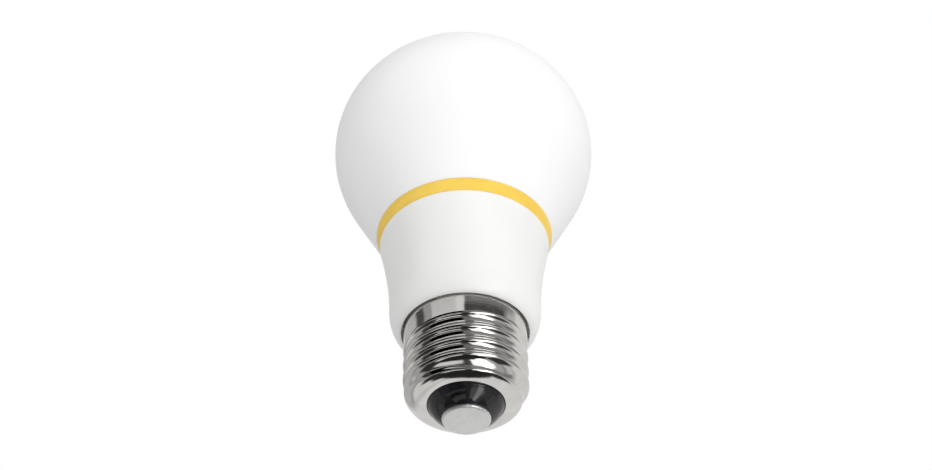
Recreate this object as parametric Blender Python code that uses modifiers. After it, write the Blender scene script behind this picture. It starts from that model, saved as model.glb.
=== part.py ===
"""Smart LED light bulb on a screw cap, built from the pieces that it comes apart into.

The bulb stands on its centre contact. Z runs up its axis, from the contact at z = 0 to the top of the
globe. The circuit boards stand in planes parallel to XZ, with the tall components in front of them.
"""

import math

import bmesh
import bpy
from mathutils import Vector

MM = 0.001
GAP = 0.3 * MM  # kept between pieces that touch on the real bulb
MERGE = 0.00001
TURN = 2 * math.pi

# Driving dimensions: an A60 bulb on an E27 cap
BULB_LENGTH = 104.0 * MM
GLOBE_RADIUS = 30.0 * MM
GLOBE_EQUATOR = 76.8 * MM
GLOBE_LOWER_SEMI_AXIS = 27.9 * MM
GLOBE_WALL = 1.2 * MM
RING_TOP_RADIUS = 19.7 * MM
RING_TOP = 50.4 * MM
RING_BOTTOM_RADIUS = 18.75 * MM
RING_BOTTOM = 47.5 * MM
RIM_RADIUS = 18.9 * MM  # of the housing, which stands a little proud of the ring
FLARE_BEND = 36.3 * MM  # height where the housing's flare turns into its waist
WAIST_RADIUS = 16.4 * MM
CORNER_WIDTH = 3.0 * MM  # of the rounded corner that turns in towards the cap
CORNER_TOP = 29.0 * MM
SHOULDER = 22.8 * MM
SHELL_MOUTH_RADIUS = 13.75 * MM
HOUSING_WALL = 1.3 * MM

THREAD_CREST_RADIUS = 13.2 * MM
THREAD_DEPTH = 0.95 * MM
THREAD_PITCH = 25.4 / 7 * MM
THREAD_START = 6.5 * MM  # height of the groove where it crosses +X on its first turn
THREAD_RUN = (-0.45, 3.55)  # where the groove begins and ends, in turns
THREAD_FADE = 0.45  # turns over which it reaches its full depth
SHEET = 0.35 * MM
CONTACT_RADIUS = 5.1 * MM
INSULATOR_RADIUS = 7.9 * MM
WIRE_RADIUS = 0.6 * MM

# Heights and radii that follow from them
GLOBE_UPPER_SEMI_AXIS = BULB_LENGTH - GLOBE_EQUATOR
COLLAR_RADIUS = RIM_RADIUS - HOUSING_WALL - GAP
COLLAR_WALL = 1.1 * MM
COLLAR_BOTTOM = RING_BOTTOM - 2.6 * MM
LEDGE = COLLAR_BOTTOM - 1.3 * MM
BOARD_RADIUS = COLLAR_RADIUS - COLLAR_WALL - GAP
LED_BOARD_TOP = RING_BOTTOM + 0.5 * MM
LED_BOARD_THICKNESS = 1.0 * MM
PAD_THICKNESS = 0.4 * MM
DECK_THICKNESS = 1.4 * MM
PAD_TOP = LED_BOARD_TOP - LED_BOARD_THICKNESS - GAP
DECK_TOP = PAD_TOP - PAD_THICKNESS - GAP
DECK_BOTTOM = DECK_TOP - DECK_THICKNESS
SKIRT_WALL = 1.0 * MM
FLOOR = SHOULDER + 3.2 * MM
GROOVE_ROOF = FLOOR - 1.4 * MM
NECK_RADIUS = THREAD_CREST_RADIUS - THREAD_DEPTH - SHEET - 1.3 * GAP
NECK_WALL = 1.3 * MM
NECK_BOTTOM = 8.2 * MM
NECK_BORE = NECK_RADIUS - NECK_WALL
LINER_WALL = 0.9 * MM
LIP = 3.9 * MM
LIP_RADIUS = INSULATOR_RADIUS + 0.2 * MM
CONTACT_TOP = 0.75 * MM
STEM_RADIUS = 1.2 * MM
STEM_TOP = 6.3 * MM

# Layout inside the housing
DRIVER_PLANE = 4.0 * MM
DRIVER_THICKNESS = 1.2 * MM
DRIVER_FRONT = DRIVER_PLANE - DRIVER_THICKNESS / 2 - GAP
DRIVER_BACK = DRIVER_PLANE + DRIVER_THICKNESS / 2 + GAP
RADIO_PLANE = 9.0 * MM
RADIO_THICKNESS = 0.8 * MM
RADIO_WIDTH = 12.0 * MM
PIN_PLANE = DRIVER_FRONT - 1.1 * MM
PIN_SPACING = 2.0 * MM
PIN_COUNT = 4
PIN_SIZE = 0.6 * MM
SCREW_OFFSET = 9.3 * MM
SCREW_RADIUS = 1.25 * MM
WHITE_LED_COUNT = 12
WHITE_LED_CIRCLE = 12.8 * MM
COLOUR_LED_COUNT = 4
COLOUR_LED_CIRCLE = 6.5 * MM
COLOUR_LED_START = math.radians(-153)
COLOUR_LED_STEP = math.radians(42)
LED_SIZE = (2.8 * MM, 3.5 * MM, 0.7 * MM)
FUSE_RADIUS = 1.7 * MM
FUSE_FOOT = (-5.2 * MM, DRIVER_FRONT - FUSE_RADIUS, 10.6 * MM)


# ---------------------------------------------------------------- scene and materials


def clear_scene():
    for obj in list(bpy.data.objects):
        bpy.data.objects.remove(obj, do_unlink=True)


def new_collection(name, hidden=False):
    collection = bpy.data.collections.new(name)
    collection.hide_render = hidden
    bpy.context.scene.collection.children.link(collection)
    return collection


def new_material(name, colour, roughness, metallic=0.0):
    material = bpy.data.materials.new(name)
    material.use_nodes = True
    shader = material.node_tree.nodes["Principled BSDF"]
    shader.inputs["Base Color"].default_value = (*colour, 1.0)
    shader.inputs["Roughness"].default_value = roughness
    shader.inputs["Metallic"].default_value = metallic
    material.diffuse_color = (*colour, 1.0)
    return material


def add_part(obj, material):
    """Puts a piece in the bulb's collection, under its axis, with its material."""
    PARTS.objects.link(obj)
    obj.parent = AXIS
    if not obj.data.materials:
        obj.data.materials.append(material)
    return obj


def add_helper(obj):
    """Keeps a shape that only cuts or joins others out of the render."""
    HELPERS.objects.link(obj)
    obj.hide_render = True
    obj.display_type = "WIRE"
    return obj


# ---------------------------------------------------------------- outlines


def ellipse_arc(centre, semi_axes, start, end, count):
    """Points (radius, height) on an ellipse, from one angle to another, in degrees from +X."""
    points = []
    for i in range(count + 1):
        angle = math.radians(start + (end - start) * i / count)
        radius = centre[0] + semi_axes[0] * math.cos(angle)
        points.append((radius, centre[1] + semi_axes[1] * math.sin(angle)))
    return points


def bezier_arc(start, control, end, count):
    """Points (radius, height) on a quadratic Bezier curve."""
    points = []
    for i in range(count + 1):
        t = i / count
        weights = ((1 - t) ** 2, 2 * t * (1 - t), t**2)
        corners = (start, control, end)
        points.append(tuple(sum(w * c[axis] for w, c in zip(weights, corners)) for axis in (0, 1)))
    return points


def globe_outline(inset, foot, count):
    """The globe's side from its pole to its foot: two half ellipses, then a straight tangent to the foot."""
    radius = GLOBE_RADIUS - inset
    upper = GLOBE_UPPER_SEMI_AXIS - inset
    lower = GLOBE_LOWER_SEMI_AXIS - inset
    foot_depth = (GLOBE_EQUATOR - foot[1]) / lower * radius
    foot_distance = math.hypot(foot[0], foot_depth)
    tangent = math.degrees(math.atan2(foot_depth, foot[0]) - math.acos(radius / foot_distance))
    centre = (0.0, GLOBE_EQUATOR)
    points = ellipse_arc(centre, (radius, upper), 90, 0, count)
    points[0] = (0.0, GLOBE_EQUATOR + upper)
    points += ellipse_arc(centre, (radius, lower), 0, -tangent, count // 2)[1:]
    points.append(foot)
    return points


def housing_side(inset, top, bottom, count):
    """The housing's flared side between two heights: a Bezier curve above the corner, an ellipse below."""
    points = []
    rim = (RIM_RADIUS, RING_BOTTOM)
    corner_depth = CORNER_TOP - SHOULDER
    for i in range(count + 1):
        height = top + (bottom - top) * i / count
        if height > CORNER_TOP:
            a = rim[1] - 2 * FLARE_BEND + CORNER_TOP
            b = 2 * (FLARE_BEND - rim[1])
            t = (-b - math.sqrt(b * b - 4 * a * (rim[1] - height))) / (2 * a)
            radius = (1 - t) ** 2 * rim[0] + (1 - (1 - t) ** 2) * WAIST_RADIUS
        else:
            drop = min((CORNER_TOP - height) / corner_depth, 1.0)
            radius = WAIST_RADIUS - CORNER_WIDTH * (1 - math.sqrt(1 - drop * drop))
        points.append((radius - inset, height))
    return points


# ---------------------------------------------------------------- shapes


def turned(name, outline, steps, material, closed=False):
    """A turned piece: (radius, height) points down its outer side, swept round Z."""
    mesh = bpy.data.meshes.new(name)
    corners = [(radius, 0.0, height) for radius, height in outline]
    edges = [(i, i + 1) for i in range(len(corners) - 1)]
    if closed:
        edges.append((len(corners) - 1, 0))
    mesh.from_pydata(corners, edges, [])
    obj = bpy.data.objects.new(name, mesh)
    sweep = obj.modifiers.new("Sweep", "SCREW")
    sweep.steps = steps
    sweep.render_steps = steps
    sweep.use_merge_vertices = True
    sweep.merge_threshold = MERGE
    sweep.use_smooth_shade = True
    return add_part(obj, material)


def box_mesh(name, boxes):
    """One mesh of boxes, each given as its size and its centre."""
    frame = bmesh.new()
    for size, centre in boxes:
        made = bmesh.ops.create_cube(frame, size=1.0)
        for vertex in made["verts"]:
            scaled = Vector(a * b for a, b in zip(vertex.co, size))
            vertex.co = scaled + Vector(centre)
    mesh = bpy.data.meshes.new(name)
    frame.to_mesh(mesh)
    frame.free()
    return mesh


def box(name, size, place, material, bevel=0.0, segments=1):
    """A box with its centre at a place, and its edges rounded if a bevel is given."""
    obj = bpy.data.objects.new(name, box_mesh(name, [(size, (0, 0, 0))]))
    obj.location = place
    if bevel:
        edges = obj.modifiers.new("Edges", "BEVEL")
        edges.width = bevel
        edges.segments = segments
    return add_part(obj, material)


def helper_boxes(name, boxes, place=(0, 0, 0)):
    obj = bpy.data.objects.new(name, box_mesh(name, boxes))
    obj.location = place
    return add_helper(obj)


def helper_cylinder(name, radius, depth, place, sides):
    frame = bmesh.new()
    bmesh.ops.create_cone(
        frame, cap_ends=True, segments=sides, radius1=radius, radius2=radius, depth=depth
    )
    mesh = bpy.data.meshes.new(name)
    frame.to_mesh(mesh)
    frame.free()
    obj = bpy.data.objects.new(name, mesh)
    obj.location = place
    return add_helper(obj)


def combine(obj, helper, operation="DIFFERENCE"):
    step = obj.modifiers.new(helper.name, "BOOLEAN")
    step.operation = operation
    step.object = helper
    step.solver = "EXACT"


def plate(name, outlines, thickness, place, material):
    """An upright plate in a plane parallel to XZ: its outlines, in (x, z), may hold windows."""
    curve = bpy.data.curves.new(name, "CURVE")
    curve.dimensions = "2D"
    curve.fill_mode = "BOTH"
    curve.extrude = thickness / 2
    for outline in outlines:
        spline = curve.splines.new("POLY")
        spline.points.add(len(outline) - 1)
        for point, corner in zip(spline.points, outline):
            point.co = (*corner, 0.0, 1.0)
        spline.use_cyclic_u = True
    obj = bpy.data.objects.new(name, curve)
    obj.location = place
    obj.rotation_euler = (math.pi / 2, 0.0, 0.0)
    return add_part(obj, material)


def rectangle(width, height, centre=(0.0, 0.0)):
    x, z = centre
    half = (width / 2, height / 2)
    return [(x + sx * half[0], z + sz * half[1]) for sx, sz in ((-1, -1), (1, -1), (1, 1), (-1, 1))]


def smooth_route(points, per_span):
    """Points along a Catmull-Rom curve through the route's own points."""
    route = [Vector(point) for point in points]
    ends = [2 * route[0] - route[1], *route, 2 * route[-1] - route[-2]]
    smooth = []
    for i in range(len(route) - 1):
        before, start, end, after = ends[i : i + 4]
        for step in range(per_span):
            t = step / per_span
            smooth.append(
                0.5
                * (
                    2 * start
                    + (end - before) * t
                    + (2 * before - 5 * start + 4 * end - after) * t**2
                    + (3 * start - 3 * end + after - before) * t**3
                )
            )
    smooth.append(route[-1])
    return smooth


def wire(name, points, radius, material):
    curve = bpy.data.curves.new(name, "CURVE")
    curve.dimensions = "3D"
    curve.bevel_depth = radius
    curve.bevel_resolution = 2
    curve.use_fill_caps = True
    route = smooth_route(points, 5)
    spline = curve.splines.new("POLY")
    spline.points.add(len(route) - 1)
    for point, place in zip(spline.points, route):
        point.co = (*place, 1.0)
    return add_part(bpy.data.objects.new(name, curve), material)


# ---------------------------------------------------------------- globe, ring and housing


def build_globe():
    foot = RING_TOP + GAP / 2
    inner_foot = (RING_TOP_RADIUS - GLOBE_WALL, foot + GLOBE_WALL)
    throat = foot + GLOBE_WALL / 2
    outline = globe_outline(0.0, (RING_TOP_RADIUS, foot), 10)
    outline += [
        (COLLAR_RADIUS, foot),
        (COLLAR_RADIUS, COLLAR_BOTTOM),
        (COLLAR_RADIUS - COLLAR_WALL, COLLAR_BOTTOM),
        (COLLAR_RADIUS - COLLAR_WALL, throat),
    ]
    outline += reversed(globe_outline(GLOBE_WALL, inner_foot, 8))
    opal = new_material("opal_polycarbonate", (0.93, 0.93, 0.93), 0.35)
    turned("diffuser_globe", outline, 40, opal)


def build_ring():
    """The coloured trim ring, trapped between the globe's foot and the housing's rim."""
    edge = 0.2 * MM
    top = RING_TOP - GAP / 2
    bottom = RING_BOTTOM + GAP / 2
    bore = COLLAR_RADIUS + GAP
    outline = [
        (bore, top),
        (RING_TOP_RADIUS - edge, top),
        (RING_TOP_RADIUS, top - edge),
        (RING_BOTTOM_RADIUS + edge, bottom + edge),
        (RING_BOTTOM_RADIUS, bottom),
        (bore, bottom),
    ]
    amber = new_material("amber_plastic", (0.93, 0.58, 0.08), 0.35)
    turned("accent_ring", outline, 40, amber, closed=True)


def build_housing():
    """The white moulding: a flared body that holds the works, and a neck that the cap is staked to."""
    rim = RING_BOTTOM - GAP / 2
    corner = (WAIST_RADIUS - CORNER_WIDTH, CORNER_TOP)
    outline = housing_side(0.0, rim, CORNER_TOP, 6)
    outline += ellipse_arc(corner, (CORNER_WIDTH, CORNER_TOP - SHOULDER), 0, -80, 6)[1:]
    outline += [
        (SHELL_MOUTH_RADIUS, SHOULDER),
        (SHELL_MOUTH_RADIUS, GROOVE_ROOF),
        (NECK_RADIUS, GROOVE_ROOF),
        (NECK_RADIUS, NECK_BOTTOM),
        (NECK_BORE, NECK_BOTTOM),
        (NECK_BORE, FLOOR),
    ]
    outline += reversed(housing_side(HOUSING_WALL, LEDGE, FLOOR, 6))
    outline += [(COLLAR_RADIUS + GAP, LEDGE), (COLLAR_RADIUS + GAP, rim)]
    white = new_material("white_plastic", (0.86, 0.86, 0.85), 0.4)
    turned("housing_sleeve", outline, 36, white, closed=True)


def build_seal():
    """The silicone bead that glues the globe's collar to the ledge inside the housing."""
    middle = (COLLAR_RADIUS - COLLAR_WALL / 2, (LEDGE + COLLAR_BOTTOM) / 2)
    bead = (0.45 * MM, (COLLAR_BOTTOM - LEDGE) / 2 - GAP)
    outline = ellipse_arc(middle, bead, 90, -270, 6)[:-1]
    silicone = new_material("silicone", (0.8, 0.8, 0.78), 0.5)
    turned("globe_seal", outline, 32, silicone, closed=True)


# ---------------------------------------------------------------- screw cap


def groove_depth(angle, height):
    """How deep the rolled thread is at a place on the shell, from 0 to 1.

    The groove climbs one pitch a turn. It fades in over its first stretch and out over its last.
    """
    first, last = THREAD_RUN
    turns = (height - THREAD_START) / THREAD_PITCH - angle / TURN
    nearest = round(turns)
    along = nearest + angle / TURN
    start = min(max((along - first) / THREAD_FADE, 0.0), 1.0)
    end = min(max((last - along) / THREAD_FADE, 0.0), 1.0)
    return min(start, end) * 0.5 * (1 + math.cos(TURN * (turns - nearest)))


def build_shell():
    """The cap's threaded shell: a rolled sheet from its lip round the insulator up to its plain rim."""
    rows_per_pitch = 6
    columns = 32
    thread_foot = LIP + 3.9 * MM
    rim = GROOVE_ROOF - GAP
    side = bezier_arc(
        (LIP_RADIUS, LIP),
        (THREAD_CREST_RADIUS - 0.6 * MM, LIP + 0.7 * MM),
        (THREAD_CREST_RADIUS, thread_foot),
        6,
    )
    rows = round((rim - thread_foot) / THREAD_PITCH * rows_per_pitch)
    for i in range(1, rows + 1):
        side.append((THREAD_CREST_RADIUS, thread_foot + (rim - thread_foot) * i / rows))

    frame = bmesh.new()
    bmesh.ops.create_grid(frame, x_segments=columns, y_segments=len(side) - 1, size=1.0)
    for vertex in frame.verts:
        angle = round((vertex.co.x + 1) / 2 * columns) * TURN / columns
        radius, height = side[round((vertex.co.y + 1) / 2 * (len(side) - 1))]
        radius -= THREAD_DEPTH * groove_depth(angle, height)
        vertex.co = (radius * math.cos(angle), radius * math.sin(angle), height)
    bmesh.ops.remove_doubles(frame, verts=frame.verts, dist=MERGE)
    mesh = bpy.data.meshes.new("screw_shell")
    frame.to_mesh(mesh)
    frame.free()
    mesh.shade_smooth()
    obj = bpy.data.objects.new("screw_shell", mesh)
    sheet = obj.modifiers.new("Sheet", "SOLIDIFY")
    sheet.thickness = SHEET
    sheet.offset = -1.0
    add_part(obj, new_material("nickel_plate", (0.72, 0.71, 0.69), 0.2, 1.0))


def build_insulator():
    """The black vitrite cone between the shell's lip and the centre contact, with a flange inside the lip."""
    flange_bottom = LIP + SHEET + 0.7 * MM
    flange_top = flange_bottom + 0.9 * MM
    flange_radius = LIP_RADIUS + 1.3 * MM
    waist = LIP_RADIUS - GAP
    step = LIP - GAP / 2
    seat = CONTACT_TOP + GAP
    foot_radius = CONTACT_RADIUS + 0.4 * MM
    edge = 0.35 * MM
    outline = [
        (STEM_RADIUS + GAP, flange_top),
        (flange_radius - edge, flange_top),
        (flange_radius, flange_top - edge),
        (flange_radius, flange_bottom),
        (waist, flange_bottom),
        (waist, step),
    ]
    outline += bezier_arc(
        (INSULATOR_RADIUS, LIP - GAP),
        (INSULATOR_RADIUS - 0.7 * MM, seat + 1.1 * MM),
        (foot_radius, seat),
        4,
    )
    outline.append((STEM_RADIUS + GAP, seat))
    black = new_material("black_vitrite", (0.02, 0.02, 0.02), 0.12)
    turned("insulator", outline, 28, black, closed=True)


def build_contact():
    """The centre contact: a flat button with a rounded rim, and the stem that takes the live wire."""
    rim_width, rim_height, back_edge = 0.6 * MM, 0.55 * MM, 0.15 * MM
    face = CONTACT_RADIUS - rim_width
    outline = [
        (0.0, STEM_TOP),
        (STEM_RADIUS, STEM_TOP),
        (STEM_RADIUS, CONTACT_TOP),
        (CONTACT_RADIUS - back_edge, CONTACT_TOP),
    ]
    outline += ellipse_arc((face, rim_height), (rim_width, rim_height), 0, -90, 3)
    outline.append((0.0, 0.0))
    solder = new_material("tinned_brass", (0.75, 0.74, 0.72), 0.4, 1.0)
    turned("centre_contact", outline, 28, solder)


# ---------------------------------------------------------------- light engine


def engine_cutters():
    """The openings that run through the deck, the pad and the LED board."""
    depth = 8 * MM
    height = (DECK_BOTTOM + LED_BOARD_TOP) / 2
    radio_slot = (RADIO_WIDTH + 4 * GAP, RADIO_THICKNESS + 4 * GAP, depth)
    pin_slot = (PIN_COUNT * PIN_SPACING + 0.4 * MM, PIN_SIZE + 4 * GAP, depth)
    cutters = [
        helper_boxes("radio_slot", [(radio_slot, (0, RADIO_PLANE, height))]),
        helper_boxes("pin_slot", [(pin_slot, (0, PIN_PLANE, height))]),
    ]
    for side in (-1, 1):
        place = (side * SCREW_OFFSET, 0.0, height)
        cutters.append(helper_cylinder(f"screw_hole_{side}", SCREW_RADIUS + GAP, depth, place, 12))
    return cutters


def build_heat_sink(cutters):
    """The aluminium cup, deck up, that takes the LEDs' heat out to the housing's wall."""
    skirt_bottom = FLOOR + 1.0 * MM
    outer = HOUSING_WALL + GAP
    skirt_top = LEDGE - 0.5 * MM
    deck_edge, chamfer = BOARD_RADIUS - GAP, 0.5 * MM
    outline = [(0.0, DECK_TOP), (deck_edge - chamfer, DECK_TOP), (deck_edge, DECK_TOP - chamfer)]
    outline += housing_side(outer, skirt_top, skirt_bottom, 5)
    outline += reversed(housing_side(outer + SKIRT_WALL, skirt_top, skirt_bottom, 5))
    outline += [(deck_edge - SKIRT_WALL - GAP, DECK_BOTTOM), (0.0, DECK_BOTTOM)]
    aluminium = new_material("aluminium", (0.8, 0.8, 0.82), 0.35, 1.0)
    sink = turned("heat_sink_cup", outline, 36, aluminium)
    for cutter in cutters:
        combine(sink, cutter)


def build_disc(name, top, thickness, radius, material, cutters):
    outline = [(0.0, top), (radius, top), (radius, top - thickness), (0.0, top - thickness)]
    disc = turned(name, outline, 36, material)
    for cutter in cutters:
        combine(disc, cutter)


def led_mesh():
    """A surface-mount LED: a moulded frame with a round well for the phosphor."""
    body = bpy.data.objects.new("led_body", box_mesh("led_body", [(LED_SIZE, (0, 0, 0))]))
    add_helper(body)
    well_radius, well_depth = 1.1 * MM, 0.3 * MM
    well = helper_cylinder("led_well", well_radius, 2 * well_depth, (0, 0, LED_SIZE[2] / 2), 12)
    combine(body, well)
    evaluated = body.evaluated_get(bpy.context.evaluated_depsgraph_get())
    mesh = bpy.data.meshes.new_from_object(evaluated)
    mesh.name = "led_package"
    bpy.data.objects.remove(body)
    return mesh


def build_leds():
    """A ring of white LEDs, and a short arc of colour LEDs inside it. Their long side follows the circle."""
    height = LED_BOARD_TOP + GAP + LED_SIZE[2] / 2
    white_mesh = led_mesh()
    colour_mesh = white_mesh.copy()
    white_mesh.materials.append(new_material("led_white", (0.9, 0.8, 0.35), 0.4))
    colour_mesh.materials.append(new_material("led_colour", (0.9, 0.9, 0.9), 0.3))
    places = []
    for i in range(WHITE_LED_COUNT):
        angle = (i + 0.5) / WHITE_LED_COUNT * TURN
        places.append((f"white_led_{i + 1:02d}", white_mesh, WHITE_LED_CIRCLE, angle))
    for i in range(COLOUR_LED_COUNT):
        angle = COLOUR_LED_START + COLOUR_LED_STEP * i
        places.append((f"colour_led_{i + 1}", colour_mesh, COLOUR_LED_CIRCLE, angle))
    for name, mesh, circle, angle in places:
        led = bpy.data.objects.new(name, mesh)
        led.location = (circle * math.cos(angle), circle * math.sin(angle), height)
        led.rotation_euler = (0.0, 0.0, angle)
        add_part(led, mesh.materials[0])


def build_screws():
    """The two pan-head screws that clamp the LED board to the deck."""
    seat = LED_BOARD_TOP + GAP
    head_radius, head_height, head_side = 2.1 * MM, 1.4 * MM, 0.4 * MM
    tip, point = DECK_BOTTOM - 1.2 * MM, 0.4 * MM
    dome = (head_radius, head_height - head_side)
    outline = ellipse_arc((0.0, seat + head_side), dome, 90, 0, 3)
    outline[0] = (0.0, seat + head_height)
    outline += [
        (head_radius, seat),
        (SCREW_RADIUS, seat),
        (SCREW_RADIUS, tip + point),
        (SCREW_RADIUS - point, tip),
        (0.0, tip),
    ]
    steel = new_material("zinc_steel", (0.6, 0.6, 0.58), 0.3, 1.0)
    long, narrow, depth = 2.2 * MM, 0.5 * MM, 1.6 * MM
    for i, side in enumerate((-1, 1), start=1):
        screw = turned(f"board_screw_{i}", outline, 16, steel)
        screw.location.x = side * SCREW_OFFSET
        place = (side * SCREW_OFFSET, 0.0, seat + head_height)
        combine(screw, helper_boxes(f"recess_a_{i}", [((long, narrow, depth), (0, 0, 0))], place))
        combine(screw, helper_boxes(f"recess_b_{i}", [((narrow, long, depth), (0, 0, 0))], place))


def pin_boxes(width, bottom, top):
    """Square pins in a row along X, in the header's plane."""
    boxes = []
    for i in range(PIN_COUNT):
        x = (i - (PIN_COUNT - 1) / 2) * PIN_SPACING
        boxes.append(((width, width, top - bottom), (x, PIN_PLANE, (top + bottom) / 2)))
    return boxes


def build_socket():
    """The socket on the LED board, which the driver's pins push up into."""
    height, depth, end_wall = 2.3 * MM, 2.4 * MM, 0.5 * MM
    bottom = LED_BOARD_TOP + GAP
    size = (PIN_COUNT * PIN_SPACING + 2 * end_wall, depth, height)
    ivory = new_material("ivory_nylon", (0.85, 0.82, 0.72), 0.45)
    socket = box("led_socket", size, (0.0, PIN_PLANE, bottom + height / 2), ivory)
    holes = pin_boxes(PIN_SIZE + 2 * GAP, bottom - height, bottom + 2 * height)
    combine(socket, helper_boxes("socket_holes", holes))


# ---------------------------------------------------------------- driver


def build_liner():
    """The insulating sleeve between the driver and the aluminium cup."""
    bottom = FLOOR + GAP
    top = DECK_BOTTOM - GAP
    low_radius, high_radius = 13.3 * MM, 13.9 * MM
    outline = [
        (high_radius, top),
        (low_radius, bottom),
        (low_radius - LINER_WALL, bottom),
        (high_radius - LINER_WALL, top),
    ]
    sleeve = new_material("natural_nylon", (0.8, 0.78, 0.7), 0.5)
    turned("driver_liner", outline, 32, sleeve, closed=True)


def build_driver_board():
    """The upright driver board: narrow where it stands in the neck, wide in the body."""
    foot, step, top = 9.0 * MM, FLOOR + 0.6 * MM, DECK_BOTTOM - 1.0 * MM
    narrow, wide = 8.5 * MM, 11.0 * MM
    outline = [
        (-narrow, foot),
        (narrow, foot),
        (narrow, step),
        (wide, step),
        (wide, top),
        (-wide, top),
        (-wide, step),
        (-narrow, step),
    ]
    green = new_material("green_fr4", (0.05, 0.25, 0.1), 0.45)
    plate("driver_board", [outline], DRIVER_THICKNESS, (0.0, DRIVER_PLANE, 0.0), green)


def build_pin_header():
    """The pins that carry power from the driver up to the LED board, in their moulded block."""
    block, bottom = 2.2 * MM, DECK_BOTTOM - 3.4 * MM
    size = (PIN_COUNT * PIN_SPACING, block, block)
    black = new_material("black_nylon", (0.03, 0.03, 0.03), 0.5)
    header = box("pin_header", size, (0.0, PIN_PLANE, bottom + block / 2), black)
    tip = LED_BOARD_TOP + block
    pins = helper_boxes("header_pins", pin_boxes(PIN_SIZE, bottom + block / 2, tip))
    combine(header, pins, "UNION")


def build_capacitor(name, radius, length, x, bottom, colour):
    """An electrolytic capacitor: a sleeved can with a rolled groove near its foot."""
    edge = 0.5 * MM
    bead = 2.0 * MM
    outline = [
        (0.0, length),
        (radius - edge, length),
        (radius, length - edge),
        (radius, bead + edge),
        (radius - edge, bead),
        (radius, bead - edge),
        (radius, edge),
        (radius - edge, 0.0),
        (0.0, 0.0),
    ]
    can = turned(name, outline, 16, new_material(name + "_sleeve", colour, 0.35))
    can.location = (x, DRIVER_FRONT - radius, bottom)


def build_transformer():
    """The flyback transformer: a ferrite core with two windows, its bobbin and its winding."""
    x, height = -4.5 * MM, 34.0 * MM
    core_width, core_depth = 11.0 * MM, 4.5 * MM
    leg, window, window_height = 2.6 * MM, 2.4 * MM, 7.6 * MM
    flange_depth = 9.2 * MM
    y = DRIVER_FRONT - flange_depth / 2
    window_centre = (leg + window) / 2
    outlines = [rectangle(core_width, core_width)]
    outlines += [rectangle(window, window_height, (s * window_centre, 0.0)) for s in (-1, 1)]
    ferrite = new_material("ferrite", (0.06, 0.06, 0.065), 0.55)
    plate("transformer_core", outlines, core_depth, (x, y, height), ferrite)

    tube_wall, flange = 0.45 * MM, 0.6 * MM
    bore = (leg + 2 * GAP, core_depth + 2 * GAP)
    tube = (bore[0] + 2 * tube_wall, bore[1] + 2 * tube_wall)
    bobbin_height = window_height - 2 * GAP
    flange_width = leg + 2 * window - 2 * GAP
    nylon = new_material("bobbin_nylon", (0.15, 0.13, 0.1), 0.5)
    bobbin = box("transformer_bobbin", (*tube, bobbin_height), (x, y, height), nylon)
    ends = [
        ((flange_width, flange_depth, flange), (0, 0, s * (bobbin_height - flange) / 2)) for s in (-1, 1)
    ]
    combine(bobbin, helper_boxes("bobbin_flanges", ends, (x, y, height)), "UNION")
    hole = [((*bore, 2 * bobbin_height), (0, 0, 0))]
    combine(bobbin, helper_boxes("bobbin_bore", hole, (x, y, height)))

    coil_height = bobbin_height - 2 * flange - 2 * GAP
    coil_size = (flange_width - 0.1 * MM, flange_depth - 0.4 * MM, coil_height)
    tape = new_material("winding_tape", (0.85, 0.68, 0.12), 0.4)
    coil = box("transformer_winding", coil_size, (x, y, height), tape)
    clearance = [((tube[0] + 2 * GAP, tube[1] + 2 * GAP, 2 * coil_height), (0, 0, 0))]
    combine(coil, helper_boxes("winding_bore", clearance, (x, y, height)))


def build_choke():
    """The input filter choke: a drum of wire between two ferrite flanges, behind the board."""
    radius, waist, length, flange = 2.5 * MM, 2.1 * MM, 7.0 * MM, 1.1 * MM
    outline = [
        (0.0, length),
        (radius, length),
        (radius, length - flange),
        (waist, length - flange),
        (waist, flange),
        (radius, flange),
        (radius, 0.0),
        (0.0, 0.0),
    ]
    choke = turned("filter_choke", outline, 16, new_material("choke", (0.35, 0.16, 0.06), 0.4))
    choke.location = (0.0, DRIVER_BACK + radius, 18.0 * MM)


def build_varistor():
    """The disc varistor, flat against the back of the board."""
    radius, thickness, edge = 3.5 * MM, 3.0 * MM, 0.8 * MM
    outline = [
        (0.0, thickness / 2),
        (radius - edge, thickness / 2),
        (radius, thickness / 2 - edge),
        (radius, edge - thickness / 2),
        (radius - edge, -thickness / 2),
        (0.0, -thickness / 2),
    ]
    disc = turned("varistor", outline, 16, new_material("blue_epoxy", (0.05, 0.15, 0.5), 0.35))
    disc.location = (0.0, DRIVER_BACK + thickness / 2, 13.0 * MM)
    disc.rotation_euler = (math.pi / 2, 0.0, 0.0)


def build_fuse():
    """The fusible resistor in the live lead: a sleeved body on two straight leads."""
    body, lead, cap = FUSE_RADIUS, 0.35 * MM, 0.6 * MM
    length, tail = 9.0 * MM, 1.6 * MM
    outline = [(0.0, length + 2 * tail), (lead, length + 2 * tail), (lead, length + tail)]
    outline += [(body - cap, length + tail), (body, length + tail - cap)]
    outline += [(body, tail + cap), (body - cap, tail), (lead, tail), (lead, 0.0), (0.0, 0.0)]
    fuse = turned("fuse_resistor", outline, 12, new_material("grey_sleeve", (0.2, 0.3, 0.25), 0.5))
    fuse.location = FUSE_FOOT


def build_package(name, size, x, height, legs, material):
    """A moulded package on the back of the board, with a row of flat legs down each side."""
    y = DRIVER_BACK + size[1] / 2
    package = box(name, size, (x, y, height), material, bevel=0.15 * MM)
    leg_depth, leg_width, reach, lift = 0.25 * MM, 0.4 * MM, 0.9 * MM, 0.3 * MM
    boxes = []
    for i in range(legs):
        z = (i - (legs - 1) / 2) * size[2] / legs
        boxes.append(((size[0] + 2 * reach, leg_depth, leg_width), (0, lift - size[1] / 2, z)))
    combine(package, helper_boxes(name + "_legs", boxes, (x, y, height)), "UNION")


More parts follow.
